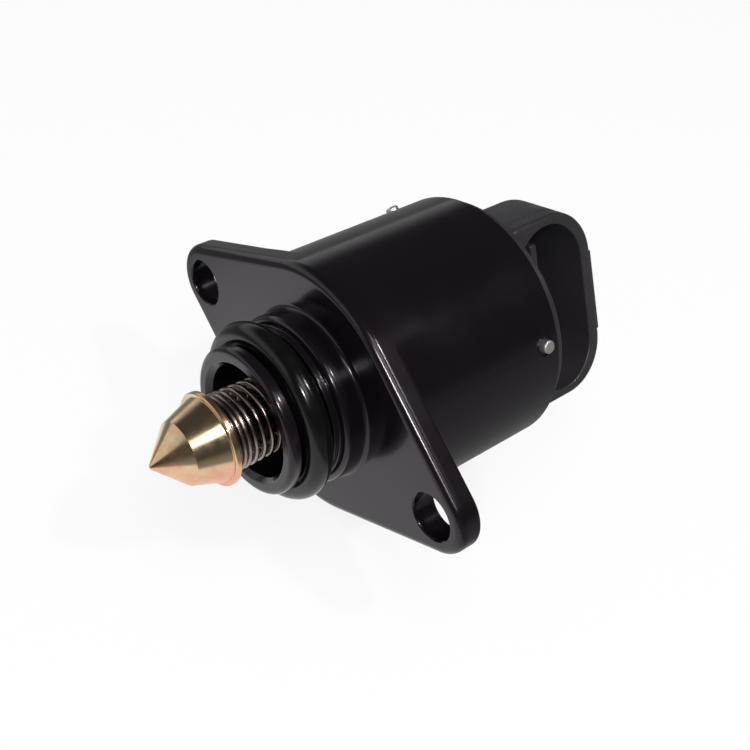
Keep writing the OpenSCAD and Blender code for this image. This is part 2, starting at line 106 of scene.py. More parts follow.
# Shader maths: a socket that is added, taken away and multiplied like a number
class Sock:
    def __init__(self, board, socket):
        self.board, self.socket = board, socket

    def math(self, operation, *others):
        return self.board.node("ShaderNodeMath", {"operation": operation}, self, *others)

    def __add__(self, other): return self.math("ADD", other)
    def __radd__(self, other): return self.math("ADD", other)
    def __sub__(self, other): return self.math("SUBTRACT", other)
    def __mul__(self, other): return self.math("MULTIPLY", other)
    def __rmul__(self, other): return self.math("MULTIPLY", other)
    def sin(self): return self.math("SINE")
    def most(self, other): return self.math("MAXIMUM", other)

    def __rsub__(self, other):
        return self.board.node("ShaderNodeMath", {"operation": "SUBTRACT"}, other, self)

    def step(self, low, high, start=0.0, end=1.0):
        # smooth change from start to end while the socket goes from low to high
        return self.board.node(
            "ShaderNodeMapRange", {"interpolation_type": "SMOOTHSTEP"}, self, low, high, start, end
        )


# The node board of one material, or of the world
class Board:
    def __init__(self, name, world=None):
        self.material = world or bpy.data.materials.new(name)
        self.material.use_nodes = True
        self.tree = self.material.node_tree
        self.tree.nodes.clear()
        kind = "ShaderNodeOutputWorld" if world else "ShaderNodeOutputMaterial"
        self.output = self.tree.nodes.new(kind)

    def node(self, kind, settings=None, *values, out=0, **named):
        made = self.tree.nodes.new(kind)
        for key, value in (settings or {}).items():
            setattr(made, key, value)
        for index, value in enumerate(values):
            if value is not None:
                self.feed(made.inputs[index], value)
        for key, value in named.items():
            self.feed(made.inputs[key.replace("_", " ")], value)
        return Sock(self, made.outputs[out])

    def feed(self, socket, value):
        if isinstance(value, Sock):
            self.tree.links.new(value.socket, socket)
        elif isinstance(value, tuple) and len(value) == 3 and socket.type == "RGBA":
            socket.default_value = (*value, 1)
        else:
            socket.default_value = value

    def place(self):
        return self.node("ShaderNodeTexCoord", out="Object")

    def split(self, vector):
        made = self.node("ShaderNodeSeparateXYZ", None, vector).socket.node
        return [Sock(self, socket) for socket in made.outputs]

    def rays(self):
        # 1 for what the camera sees directly, and 1 for what gloss or glass shows
        made = self.node("ShaderNodeLightPath").socket.node
        kinds = ("Is Camera Ray", "Is Glossy Ray", "Is Transmission Ray")
        direct, glossy, through = [Sock(self, made.outputs[kind]) for kind in kinds]
        return direct, glossy.most(through)

    def noise(self, scale, detail, rough, where=None):
        return self.node(
            "ShaderNodeTexNoise", None, Vector=where or self.place(),
            Scale=scale, Detail=detail, Roughness=rough, out="Fac"
        )

    def toolLines(self, stretch):
        # noise squeezed along some axes, as the lines of a tool are
        where = self.node("ShaderNodeVectorMath", {"operation": "MULTIPLY"}, self.place(), stretch)
        return self.noise(1.0, 3, 0.7, where)

    def mix(self, factor, first, second):
        # a Mix node takes its two colours on sockets 6 and 7 and gives them on output 2
        unused = [None] * 5
        return self.node("ShaderNodeMix", {"data_type": "RGBA"}, factor, *unused, first, second, out=2)

    def bump(self, height, strength, distance):
        return self.node("ShaderNodeBump", None, Strength=strength, Distance=distance, Height=height)

    def finish(self, shader):
        self.tree.links.new(shader.socket, self.output.inputs["Surface"])
        return self.material

    def surface(self, **sockets):
        return self.finish(self.node("ShaderNodeBsdfPrincipled", None, **sockets))


# Finishes. Their scales and lines count per metre, and their depths are in metres.

# Smooth glossy black coat on the casting: a faint orange peel and handling haze
coatLook = {
    "dark": (0.0040, 0.0029, 0.0043), "light": (0.0058, 0.0043, 0.0062),
    "hazeScale": 140, "smooth": 0.16, "dull": 0.22,
    "peelScale": 1500, "peelBump": 0.02, "peelDepth": 0.00004,
    "gloss": 0.33, "glossTint": (1.0, 0.86, 0.99), "coat": 0.2, "coatRough": 0.06,
}


def blackCoat(s):
    b = Board("blackCoat")
    haze = b.noise(s["hazeScale"], 2, 0.5)
    peel = b.noise(s["peelScale"], 1, 0.4)
    return b.surface(
        Base_Color=b.mix(haze, s["dark"], s["light"]),
        Roughness=haze.step(0.25, 0.75, s["smooth"], s["dull"]),
        Normal=b.bump(peel, s["peelBump"], s["peelDepth"]),
        Specular_IOR_Level=s["gloss"],
        Specular_Tint=s["glossTint"],
        Coat_Weight=s["coat"],
        Coat_Roughness=s["coatRough"],
    )


# Black glass-filled moulding: a finely textured satin skin
mouldingLook = {
    "dark": (0.021, 0.019, 0.022), "light": (0.030, 0.027, 0.032),
    "hazeScale": 300, "smooth": 0.28, "dull": 0.36,
    "grainScale": 4200, "grainRough": 0.05, "grainBump": 0.16, "grainDepth": 0.00004, "gloss": 0.5,
}


def blackMoulding(s):
    b = Board("blackMoulding")
    haze = b.noise(s["hazeScale"], 2, 0.5)
    grain = b.noise(s["grainScale"], 2, 0.6)
    return b.surface(
        Base_Color=b.mix(haze, s["dark"], s["light"]),
        Roughness=haze.step(0.3, 0.7, s["smooth"], s["dull"]) + grain * s["grainRough"],
        Normal=b.bump(grain, s["grainBump"], s["grainDepth"]),
        Specular_IOR_Level=s["gloss"],
    )


# Oiled black rubber: smooth and shiny with a trace of bloom
rubberLook = {
    "dark": (0.0034, 0.0033, 0.0036), "light": (0.0062, 0.0060, 0.0064),
    "bloomScale": 420, "smooth": 0.13, "dull": 0.19,
    "grainScale": 3600, "grainRough": 0.03, "grainBump": 0.05, "grainDepth": 0.00004, "gloss": 0.33,
}


def sealRubber(s):
    b = Board("sealRubber")
    bloom = b.noise(s["bloomScale"], 3, 0.5)
    grain = b.noise(s["grainScale"], 2, 0.5)
    return b.surface(
        Base_Color=b.mix(bloom.step(0.4, 0.8), s["dark"], s["light"]),
        Roughness=bloom.step(0.3, 0.7, s["smooth"], s["dull"]) + grain * s["grainRough"],
        Normal=b.bump(grain, s["grainBump"], s["grainDepth"]),
        Specular_IOR_Level=s["gloss"],
    )


# Yellow zinc on a turned cone: pink gold below, green gold above, yellow bands that follow the
# turning, blushes of pink and fine tool lines
zincLook = {
    "low": (0.80, 0.41, 0.26), "high": (0.66, 0.58, 0.35), "lowZ": -2.5, "highZ": 4.0, "heightDrift": 9,
    "band": (0.88, 0.60, 0.32), "bandShare": 0.25, "bandTurn": 0.8, "bandStart": 0.6, "bandDrift": 6,
    "blush": (0.74, 0.33, 0.24), "blushShare": 0.5, "driftScale": 170, "patchScale": 520,
    "line": (0.90, 0.74, 0.50), "lineShare": 0.12, "lines": (14000, 260, 260),
    "lineBump": 0.10, "lineDepth": 0.00002, "smooth": 0.14, "dull": 0.25,
}


def zincPlate(s):
    b = Board("zincPlate")
    x, y, z = b.split(b.place())
    drift = b.noise(s["driftScale"], 3, 0.55)
    patch = b.noise(s["patchScale"], 3, 0.6)
    height = z * perMetre + (drift - 0.5) * s["heightDrift"]
    tint = b.mix(height.step(s["lowZ"], s["highZ"]), s["low"], s["high"])
    wave = (x * perMetre + (drift - 0.5) * s["bandDrift"]) * s["bandTurn"] + s["bandStart"]
    tint = b.mix(wave.sin().step(0.2, 1.0) * s["bandShare"], tint, s["band"])
    tint = b.mix((patch + drift * 0.6).step(0.72, 0.95) * s["blushShare"], tint, s["blush"])
    lines = b.toolLines(s["lines"])
    return b.surface(
        Base_Color=b.mix(lines.step(0.4, 0.8) * s["lineShare"], tint, s["line"]),
        Metallic=1.0,
        Roughness=patch.step(0.3, 0.7, s["smooth"], s["dull"]),
        Normal=b.bump(lines, s["lineBump"], s["lineDepth"]),
    )


# Bare metals: worn patches and tool lines. A low edge keeps a metal's rims dull.
metalLook = {"wearScale": 350, "wearRough": 0.12, "lineDepth": 0.00003}


def metal(name, dark, light, rough, lines=(300, 300, 300), bump=0.15, edge=1.0):
    b, s = Board(name), metalLook
    wear = b.noise(s["wearScale"], 4, 0.6)
    return b.surface(
        Base_Color=b.mix(wear.step(0.3, 0.7), dark, light),
        Metallic=1.0,
        Roughness=wear.step(0.3, 0.7, rough, rough + s["wearRough"]),
        Normal=b.bump(b.toolLines(lines), bump, s["lineDepth"]),
        Specular_Tint=(edge, edge, edge),
    )


# Matt mouldings with a fine grain
plainLook = {
    "wearScale": 400, "wearRough": 0.1, "grainScale": 5000, "grainBump": 0.2, "grainDepth": 0.00005,
}


def plainMoulding(name, dark, light, rough):
    b, s = Board(name), plainLook
    wear = b.noise(s["wearScale"], 4, 0.6)
    grain = b.noise(s["grainScale"], 3, 0.6)
    return b.surface(
        Base_Color=b.mix(wear.step(0.3, 0.7), dark, light),
        Roughness=wear.step(0.3, 0.7, rough, rough + s["wearRough"]),
        Normal=b.bump(grain, s["grainBump"], s["grainDepth"]),
    )


# One finish for each material slot of the part
finishes = {
    "cast_housing": blackCoat(coatLook),
    "black_moulding": blackMoulding(mouldingLook),
    "seal_rubber": sealRubber(rubberLook),
    "zinc_plate": zincPlate(zincLook),
    "spring_steel": metal("springSteel", (0.22, 0.17, 0.15), (0.40, 0.33, 0.30), 0.2,
                          lines=(1200, 1200, 1200), bump=0.06),
    "screw_steel": metal("screwSteel", (0.05, 0.042, 0.038), (0.10, 0.085, 0.08), 0.5,
                         lines=(3000, 300, 300), bump=0.08, edge=0.25),
    "bearing_steel": metal("bearingSteel", (0.58, 0.59, 0.61), (0.72, 0.73, 0.75), 0.12,
                           lines=(9000, 300, 300)),
    "cage_brass": metal("cageBrass", (0.55, 0.40, 0.14), (0.75, 0.58, 0.26), 0.28),
    "bush_bronze": metal("bushBronze", (0.42, 0.27, 0.12), (0.60, 0.42, 0.20), 0.42,
                         lines=(2500, 2500, 2500)),
    "pole_steel": metal("poleSteel", (0.50, 0.51, 0.52), (0.66, 0.67, 0.68), 0.3),
    "copper_wire": metal("copperWire", (0.42, 0.16, 0.06), (0.62, 0.28, 0.12), 0.3,
                         lines=(5200, 60, 60), bump=0.6),
    "pin_steel": metal("pinSteel", (0.58, 0.56, 0.55), (0.78, 0.76, 0.75), 0.38,
                       lines=(2500, 2500, 2500)),
    "terminal_tin": metal("terminalTin", (0.78, 0.76, 0.70), (0.92, 0.90, 0.85), 0.42,
                          lines=(600, 4000, 4000)),
    "hub_plastic": plainMoulding("hubPlastic", (0.70, 0.66, 0.56), (0.78, 0.74, 0.64), 0.4),
    "bobbin_plastic": plainMoulding("bobbinPlastic", (0.74, 0.70, 0.60), (0.82, 0.78, 0.68), 0.42),
    "magnet": plainMoulding("magnetFerrite", (0.035, 0.035, 0.038), (0.060, 0.060, 0.062), 0.5),
}
# Every CAD solid wears its slot's finish, also where a piece stands for it later
for part in frame["record"]["subparts"]:
    node = frame["nodes"][part["node"]]
    node.data.materials.clear()
    node.data.materials.append(finishes[part["material_slot"]])
print("finishes made:", len(finishes))


# Shapes: each is a grid of points worked out as whole arrays, in millimetres
def unit(vector):
    return vector / np.linalg.norm(vector)


def roundedPath(corners, steps=7, hold=0.12):
    # A line through corners of (along, out, radius). Each corner becomes an arc tangent to both
    # sides: centre + (sin((1-u)w) first + sin(uw) last) / sin(w), with u from 0 to 1 over the
    # swing w. A point just before and just after the arc keeps the straight parts flat.
    points = []
    for index, (along, out, radius) in enumerate(corners):
        here = np.array((along, out), dtype=float)
        if radius == 0 or index in (0, len(corners) - 1):
            points.append(here[None])
            continue
        back = unit(np.array(corners[index - 1][:2]) - here)
        on = unit(np.array(corners[index + 1][:2]) - here)
        half = math.acos(back @ on) / 2
        swing = math.pi - 2 * half
        centre = here + unit(back + on) * radius / math.sin(half)
        first = here + back * radius / math.tan(half) - centre
        last = here + on * radius / math.tan(half) - centre
        u = np.linspace(0, 1, max(3, round(steps * swing / (math.pi / 2)) + 1))[:, None]
        bend = (np.sin((1 - u) * swing) * first + np.sin(u * swing) * last) / math.sin(swing)
        lead = min(hold, radius / 2)
        points += [[centre + first + back * lead], centre + bend, [centre + last + on * lead]]
    return np.vstack(points)


def quarterRound(steps):
    # Along a rounded edge of radius 1, how far each point lies below the top, 1 - sin a, and in
    # from the side, 1 - cos a, while a goes from 0 to a quarter turn
    a = np.linspace(0, math.pi / 2, steps + 1)
    return list(zip(1 - np.sin(a), 1 - np.cos(a)))


def turned(profile, angles):
    # Turned shape: (along, out) and an angle give (along, out cos angle, out sin angle)
    along = np.repeat(profile[:, :1], len(angles), axis=1)
    return np.stack((along, np.outer(profile[:, 1], np.cos(angles)),
                     np.outer(profile[:, 1], np.sin(angles))), axis=-1)


def ringAngles(count):
    return np.linspace(0, tau, count, endpoint=False)


def facing(grid, angle, x=0.0):
    # Points drawn as (out, along x, across) turned to an angle about the motor axis
    out, along, across = grid[..., 0], grid[..., 1], grid[..., 2]
    c, s = math.cos(math.radians(angle)), math.sin(math.radians(angle))
    return np.stack((x + along, out * c - across * s, out * s + across * c), axis=-1)


def gridFaces(rows, across, closed):
    # Four neighbours make a face; a grid always closes across, and may close along its rows
    row = np.arange(rows if closed else rows - 1)[:, None] * across
    ahead = (row + across) % (rows * across)
    here = np.arange(across)[None]
    beside = (here + 1) % across
    return np.stack((row + here, row + beside, ahead + beside, ahead + here), -1).reshape(-1, 4)


weld = 0.0006  # points closer than this become one, as at the poles of a turned shape


def solid(name, grids, closed=False, cut=None):
    # Grids joined into one mesh in metres, welded, faced outwards, and cut by the tool grids
    def meshOf(title, parts, loop):
        points, faces, start = [], [], 0
        for grid in parts:
            rows, across = grid.shape[:2]
            points.append(grid.reshape(-1, 3))
            faces.append(gridFaces(rows, across, loop) + start)
            start += rows * across
        mesh = bpy.data.meshes.new(title)
        mesh.from_pydata((np.vstack(points) * mm).tolist(), [], np.vstack(faces).tolist())
        work = bmesh.new()
        work.from_mesh(mesh)
        bmesh.ops.remove_doubles(work, verts=work.verts, dist=weld * mm)
        bmesh.ops.recalc_face_normals(work, faces=work.faces)
        work.to_mesh(mesh)
        work.free()
        return mesh

    piece = bpy.data.objects.new(name, meshOf(name, grids, closed))
    bpy.context.scene.collection.objects.link(piece)
    if cut:
        tool = bpy.data.objects.new(name + "Tool", meshOf(name + "Tool", cut, False))
        bpy.context.scene.collection.objects.link(tool)
        step = piece.modifiers.new("cut", "BOOLEAN")
        step.operation, step.solver, step.object = "DIFFERENCE", "EXACT", tool
        ready = piece.evaluated_get(bpy.context.evaluated_depsgraph_get())
        made = bpy.data.meshes.new_from_object(ready)
        piece.modifiers.clear()
        piece.data = made
        made.name = name
        bpy.data.objects.remove(tool)
    return piece


def dress(piece, body, slot, *nodes, sharp=28):
    # Smooth shading with crisp edges, the slot's finish, and the body that carries the piece
    mesh = piece.data
    mesh.polygons.foreach_set("use_smooth", np.ones(len(mesh.polygons), dtype=bool))
    mesh.set_sharp_from_angle(angle=math.radians(sharp))
    mesh.materials.clear()
    mesh.materials.append(finishes[slot])
    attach(piece, body)
    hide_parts(*nodes)
    print(piece.name, "made:", len(mesh.polygons), "faces")


# Housing: flange, spigot and can in one casting. Its sections run round the motor axis on
# spokes that go through the points of the flange's outline.
housing = {
    "holeSpacing": 50.0, "endR": 5.5, "flangeT": 3.5, "frontRound": 1.25, "backRound": 0.4,
    "rootFillet": 1.6, "filletShare": 0.6, "backShare": 0.25, "slackShare": 0.12, "leastGap": 0.002,
    "holeR": 3.3, "holeRound": 0.3, "holeFlare": 1.2, "holeFlareX": 0.2, "holePast": 1.0,
    "canR": 18.5, "canIn": 17.0, "canEnd": 29.4, "canChamfer": 0.35, "chamferRound": 0.06,
    "canMarks": (18, 10), "faceR": 14.5,
    "bossR": 12.0, "bossX": -3.5, "bossRound": 0.8, "bossFillet": 0.6,
    "collarR": 10.8, "collarX": -4.45, "collarRound": 0.18,
    "grooveR": 9.0, "grooveX": -9.25, "stepRound": 0.2,
    "lipR": 10.4, "lipX": -10.95, "lipRound": 0.8, "lipBackRound": 0.22,
    "boreR": 7.9, "mouthChamfer": 0.7, "mouthRound": 0.3, "boreRound": 0.1,
    "ledgeX": 1.2, "ledgeEnd": 2.4, "ledgeR": 6.4,
    "pocketR": 8.05, "pocketEnd": 7.4, "pocketBossR": 9.4, "webRound": 0.4,
    "pinAngles": (30, 150, 270), "pinX": 26.6, "pinHoleR": 1.0, "pinHoleStart": 16.0, "pinBand": 1.9,
    "spotR": 1.37, "spotDepth": 0.25, "spotFlare": 0.25, "spotOver": 0.6,
    "hold": 0.15, "faceHold": 0.12,  # flat strips beside the rounded edges
    # canMarks and pinBand only say where rows of points stand on the can, and faceR on the flange
    # how many points or steps each stretch of the outline and each rounded edge has
    "endPoints": 65, "discPoints": 44, "runPoints": 26,
    "filletSteps": 10, "backSteps": 5, "frontSteps": 16, "holePoints": 120, "pinPoints": 64,
}


def flangeOutline(s):
    # Two ends and a middle disc joined by their common tangents: points, and outward normals.
    # The tangents lean so that cos(lean) = (canR - endR) / (holeSpacing / 2).
    far = s["holeSpacing"] / 2
    lean = math.acos((s["canR"] - s["endR"]) / far)
    end = np.linspace(-lean, lean, s["endPoints"])
    disc = np.linspace(lean, math.pi - lean, s["discPoints"])
    run = np.linspace(0, 1, s["runPoints"])[1:-1, None]
    endArc = np.array((far, 0)) + s["endR"] * np.column_stack((np.cos(end), np.sin(end)))
    discArc = s["canR"] * np.column_stack((np.cos(disc), np.sin(disc)))
    mirrored = endArc[0] * (-1, -1)
    points = np.vstack((endArc, endArc[-1] * (1 - run) + discArc[0] * run,
                        discArc, discArc[-1] * (1 - run) + mirrored * run))
    angles = np.concatenate((end, np.full(len(run), lean), disc, np.full(len(run), math.pi - lean)))
    normals = np.column_stack((np.cos(angles), np.sin(angles)))
    return np.vstack((points, -points)), np.vstack((normals, -normals))


def housingSection(s):
    # From the flange's front face forwards over the spigot, back through its bore and the
    # bearing's pocket to the inside of the can, and round the can's edge to its outside
    step, bore, edge, chamfer = s["stepRound"], s["boreRound"], s["chamferRound"], s["canChamfer"]
    return roundedPath([
        (0, s["faceR"], 0),
        (0, s["bossR"], s["bossFillet"]),
        (s["bossX"], s["bossR"], s["bossRound"]),
        (s["bossX"], s["collarR"], step),
        (s["collarX"], s["collarR"], s["collarRound"]),
        (s["collarX"], s["grooveR"], step),
        (s["grooveX"], s["grooveR"], step),
        (s["grooveX"], s["lipR"], s["lipBackRound"]),
        (s["lipX"], s["lipR"], s["lipRound"]),
        (s["lipX"], s["boreR"] + s["mouthChamfer"], s["mouthRound"]),
        (s["lipX"] + s["mouthChamfer"], s["boreR"], s["mouthRound"]),
        (s["ledgeX"], s["boreR"], bore),
        (s["ledgeX"], s["ledgeR"], bore),
        (s["ledgeEnd"], s["ledgeR"], bore),
        (s["ledgeEnd"], s["pocketR"], bore),
        (s["pocketEnd"], s["pocketR"], step),
        (s["pocketEnd"], s["pocketBossR"], step),
        (s["flangeT"], s["pocketBossR"], s["webRound"]),
        (s["flangeT"], s["canIn"], s["webRound"]),
        (s["canEnd"], s["canIn"], bore),
        (s["canEnd"], s["canR"] - chamfer, edge),
        (s["canEnd"] - chamfer, s["canR"], edge),
        (s["pinX"] + s["pinBand"], s["canR"], 0),
        (s["pinX"] - s["pinBand"], s["canR"], 0),
        *((mark, s["canR"], 0) for mark in s["canMarks"]),
    ])


def makeHousing(s):
    outline, normals = flangeOutline(s)
    spokes = np.arctan2(outline[:, 1], outline[:, 0])
    # Where the flange stands out from the can it has a fillet and a rounded back edge, which
    # shrink to nothing where the two meet
    gap = np.maximum(np.hypot(outline[:, 0], outline[:, 1]) - s["canR"], 0)
    gap[gap < s["leastGap"]] = 0
    fillet = np.minimum(s["rootFillet"], s["filletShare"] * gap)
    back = np.minimum(s["backRound"], s["backShare"] * gap)
    slack = s["slackShare"] * np.minimum(gap, 1)
    thick, front, canR, hold = s["flangeT"], s["frontRound"], s["canR"], s["hold"]

    def spokeRow(x, r):
        return np.column_stack((x + 0 * spokes, r * np.cos(spokes), r * np.sin(spokes)))

    def edgeRow(x, inset):
        return np.column_stack((x + 0 * spokes, outline - normals * (inset + 0 * spokes)[:, None]))

    rows = [spokeRow(x, r) for x, r in housingSection(s)]
    rows += [spokeRow(thick + fillet * drop, canR + fillet * inset)
             for drop, inset in quarterRound(s["filletSteps"])]
    rows += [spokeRow(thick, canR + fillet + slack), edgeRow(thick, back + slack)]
    rows += [edgeRow(thick - back * inset, back * drop) for drop, inset in quarterRound(s["backSteps"])]
    rows += [edgeRow(thick - s["backRound"] - hold, 0), edgeRow(front + hold, 0)]
    rows += [edgeRow(front * drop, front * inset) for drop, inset in quarterRound(s["frontSteps"])]
    rows += [edgeRow(0, front + s["faceHold"])]

    # The tools that cut the holes start and end outside the metal
    past, rear = -s["holePast"], thick + s["holePast"]
    hole = turned(roundedPath([
        (past, 0, 0), (past, s["holeR"] + s["holeFlare"], 0),
        (s["holeFlareX"], s["holeR"], s["holeRound"]), (rear, s["holeR"], 0), (rear, 0, 0)
    ]), ringAngles(s["holePoints"]))
    spot, over = canR - s["spotDepth"], canR + s["spotOver"]
    pinHole = turned(np.array([
        (s["pinHoleStart"], 0), (s["pinHoleStart"], s["pinHoleR"]), (spot, s["pinHoleR"]),
        (spot, s["spotR"]), (over, s["spotR"] + s["spotFlare"]), (over, 0)
    ]), ringAngles(s["pinPoints"]))
    tools = [hole + (0, side * s["holeSpacing"] / 2, 0) for side in (-1, 1)]
    tools += [facing(pinHole, angle, s["pinX"]) for angle in s["pinAngles"]]
    piece = solid("castHousing", [np.stack(rows)], closed=True, cut=tools)
    dress(piece, "housing", "cast_housing", "valve_housing")


makeHousing(housing)


# Rubber ring in the spigot's groove: a small circle turned round the motor axis
sealRing = {"x": -6.85, "ringR": 10.8, "sectionR": 1.75}


def makeSealRing(s):
    swing = ringAngles(64)
    along, out = s["x"] + s["sectionR"] * np.cos(swing), s["ringR"] + s["sectionR"] * np.sin(swing)
    piece = solid("sealRing", [turned(np.column_stack((along, out)), ringAngles(240))], closed=True)
    dress(piece, "housing", "seal_rubber", "o_ring")


makeSealRing(sealRing)


# Pintle: a tip cone and a flatter second cone, a rim for the spring, a pilot inside it
pintleCone = {
    "tipX": -25.1, "tipRound": 0.45, "tipR": 4.4, "baseX": -20.8, "baseRound": 0.05,
    "coneR": 5.9, "coneRound": 0.1, "rimX": -16.5, "rimR": 6.5, "rimEnd": -15.65,
    "rimRound": 0.28, "rimBackRound": 0.15, "pilotR": 4.26, "pilotEnd": -14.15, "pilotRound": 0.35,
    "boreR": 2.45, "boreX": -17.35, "boreRound": 0.05,
}


def makePintle(s):
    # A cone of 45 degrees would end sqrt(2) - 1 of its ball's radius in front of that ball
    sharpTip = s["tipX"] - s["tipRound"] * (math.sqrt(2) - 1)
    section = roundedPath([
        (sharpTip, 0, 0), (s["baseX"], s["tipR"], s["baseRound"]),
        (s["rimX"], s["coneR"], s["coneRound"]), (s["rimX"], s["rimR"], s["rimRound"]),
        (s["rimEnd"], s["rimR"], s["rimBackRound"]), (s["rimEnd"], s["pilotR"], s["coneRound"]),
        (s["pilotEnd"], s["pilotR"], s["pilotRound"]), (s["pilotEnd"], s["boreR"], s["boreRound"]),
        (s["boreX"], s["boreR"], 0), (s["boreX"], 0, 0)
    ], steps=8)[1:]
    # The tip is a small ball: (tipX + r (1 - cos a), r sin a), up to where the cone's slope starts
    slope = math.atan2(s["tipR"], s["baseX"] - s["tipX"])
    nose = np.linspace(0, math.pi / 2 - slope, 9)
    ball = np.column_stack((s["tipX"] + s["tipRound"] * (1 - np.cos(nose)),
                            s["tipRound"] * np.sin(nose)))
    piece = solid("pintleCone", [turned(np.vstack((ball, section)), ringAngles(256))])
    dress(piece, "pintle_rod", "zinc_plate", "pintle", sharp=24)


makePintle(pintleCone)


# Threaded stem with two flats. The thread is a wave of the phase x / pitch - angle / turn with
# flattened crests, it fades out at the rear end, and the flats cut it off above and below.
stem = {
    "start": -14.15, "end": 16.3, "neckR": 2.4, "neckX": -17.3, "outR": 2.9, "depth": 0.5,
    "pitch": 1.0, "crestTop": 1.6, "crestSlope": 3.6, "fadeLen": 0.5, "flat": 2.3,
    "stepsPerPitch": 10, "endSlack": 0.001, "neckGap": 0.01,
}


def makeStem(s):
    angles = ringAngles(72)
    x = np.arange(s["start"], s["end"] + s["endSlack"], s["pitch"] / s["stepsPerPitch"])
    phase = (x[:, None] / s["pitch"] - angles[None] / tau) % 1
    crest = np.clip(s["crestTop"] - np.abs(phase - 0.5) * s["crestSlope"], 0, 1)
    fade = np.clip((s["end"] - x) / s["fadeLen"], 0, 1)[:, None]
    r = s["outR"] - s["depth"] * (1 - crest * fade)
    r[0], r[-1] = s["neckR"], s["outR"] - s["depth"]
    grid = np.stack((np.repeat(x[:, None], len(angles), 1), r * np.cos(angles),
                     np.clip(r * np.sin(angles), -s["flat"], s["flat"])), axis=-1)
    neckEnd = s["start"] - s["neckGap"]
    neck = np.array([(s["neckX"], 0), (s["neckX"], s["neckR"]), (neckEnd, s["neckR"])])
    tail = np.array([(s["end"], 0.0)])
    piece = solid("threadedStem", [np.concatenate((turned(neck, angles), grid, turned(tail, angles)))])
    dress(piece, "pintle_rod", "screw_steel", "lead_screw", sharp=40)


makeStem(stem)


# Return spring: wire carried along a helix. Its end turns are closed, the turns behind the
# front ones are close, and the rest share what is left.
returnSpring = {
    "front": -15.65, "rear": 0.2, "coilR": 4.97, "wireR": 0.36, "turns": 12.0,
    "closedPitch": 0.78, "frontClosed": 3.0, "nearPitch": 1.25, "nearTurns": 4.5, "rearClosed": 1.3,
    "stepsPerTurn": 60, "wireSides": 20, "easeSteps": 25,
}


def makeSpring(s):
    t = np.linspace(0, s["turns"], round(s["turns"] * s["stepsPerTurn"]) + 1)
    first, last = s["front"] + s["wireR"], s["rear"] - s["wireR"]
    nearEnd = s["frontClosed"] + s["nearTurns"]
    rearTurns = s["turns"] - nearEnd - s["rearClosed"]
    closed, near = s["closedPitch"], s["nearTurns"] * s["nearPitch"]
    rearRun = last - first - (s["frontClosed"] + s["rearClosed"]) * closed - near
    rise = np.interp(t, (0, s["frontClosed"], nearEnd, nearEnd + rearTurns, s["turns"]), np.cumsum((
        0, s["frontClosed"] * closed, near, rearRun, s["rearClosed"] * closed)))
    # a running mean eases each change of pitch
    window = np.ones(s["easeSteps"]) / s["easeSteps"]
    padded = np.pad(rise, s["easeSteps"] // 2, mode="reflect", reflect_type="odd")
    x = first + np.convolve(padded, window, mode="valid")
    around = tau * t
    middle = np.column_stack((x, s["coilR"] * np.cos(around), s["coilR"] * np.sin(around)))
    ahead = np.gradient(middle, axis=0)
    ahead /= np.linalg.norm(ahead, axis=1, keepdims=True)
    out = np.column_stack((0 * around, np.cos(around), np.sin(around)))
    side = np.cross(ahead, out)
    swing = ringAngles(s["wireSides"])[None, :, None]
    wire = middle[:, None] + s["wireR"] * (out[:, None] * np.cos(swing) + side[:, None] * np.sin(swing))
    ends = [np.repeat(middle[i][None, None], s["wireSides"], axis=1) for i in (0, -1)]
    piece = solid("returnSpring", [np.concatenate((ends[0], wire, ends[1]))])
    dress(piece, "housing", "spring_steel", "pintle_spring", sharp=50)
    slide = next(j for j in frame["record"]["behaviour"]["joints"] if j["name"] == "pintle_slide")
    travel, length = slide["range_m"][1], (s["rear"] - s["front"]) * mm
    1 - travel / length
    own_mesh(piece)


makeSpring(returnSpring)


# Connector cap: a plug in the can, its rim, and the oval shell of the socket
plugCap = {
    "angle": 150, "plugX": 22.3, "plugR": 16.95, "plugRound": 0.4, "rimR": 17.65, "rimEnd": 30.8,
    "rimRound": 0.35, "rimLap": 0.05, "bushR": 5.6, "bushEnd": 27.4, "bushRound": 0.2,
    "sealX": 24.2, "sealHalf": 0.85, "sealR": 15.3,
    # the shell, whose walls widen from the mouth down to the root, on a narrower block
    "mouth": 10.25, "root": 2.0, "under": -3.15, "floor": 0.05, "start": 29.42, "near": 3.0,
    "shellX": 46.2, "shellHalf": 13.8, "shellFar": 7.3, "flareX": 1.2, "flareHalf": 1.55, "flareFar": 2.4,
    "blockX": 44.8, "blockHalf": 13.1, "blockFar": 6.35,
    "underRound": 0.5, "rootRound": 0.3, "mouthRound": 0.55, "innerRound": 0.3, "floorRound": 0.4,
    "bandTop": 8.25, "bandLow": 7.75, "bandDeep": 0.3, "bandSoft": 0.08,
    # strips that keep walls and faces flat beside the rounded edges
    "hold": 0.15, "rootHold": 0.05, "underFlat": 0.12, "mouthFlat": 0.1, "innerFlat": 0.08, "floorFlat": 0.1,
    "socketX0": 31.4, "socketX1": 44.2, "socketHalf": 12.5, "socketRound": 6.3,
    "latchX": 45.0, "latchHalf": 6.2, "latchTop": 10.05, "latchLow": 4.65, "latchProud": 0.35,
    "latchLean": 0.6, "latchRound": 0.25,
    "ribX": 34.7, "ribT": 1.2, "ribNear": 5.0, "ribFar": 10.5, "ribTop": 9.75, "ribRound": 0.3,
}


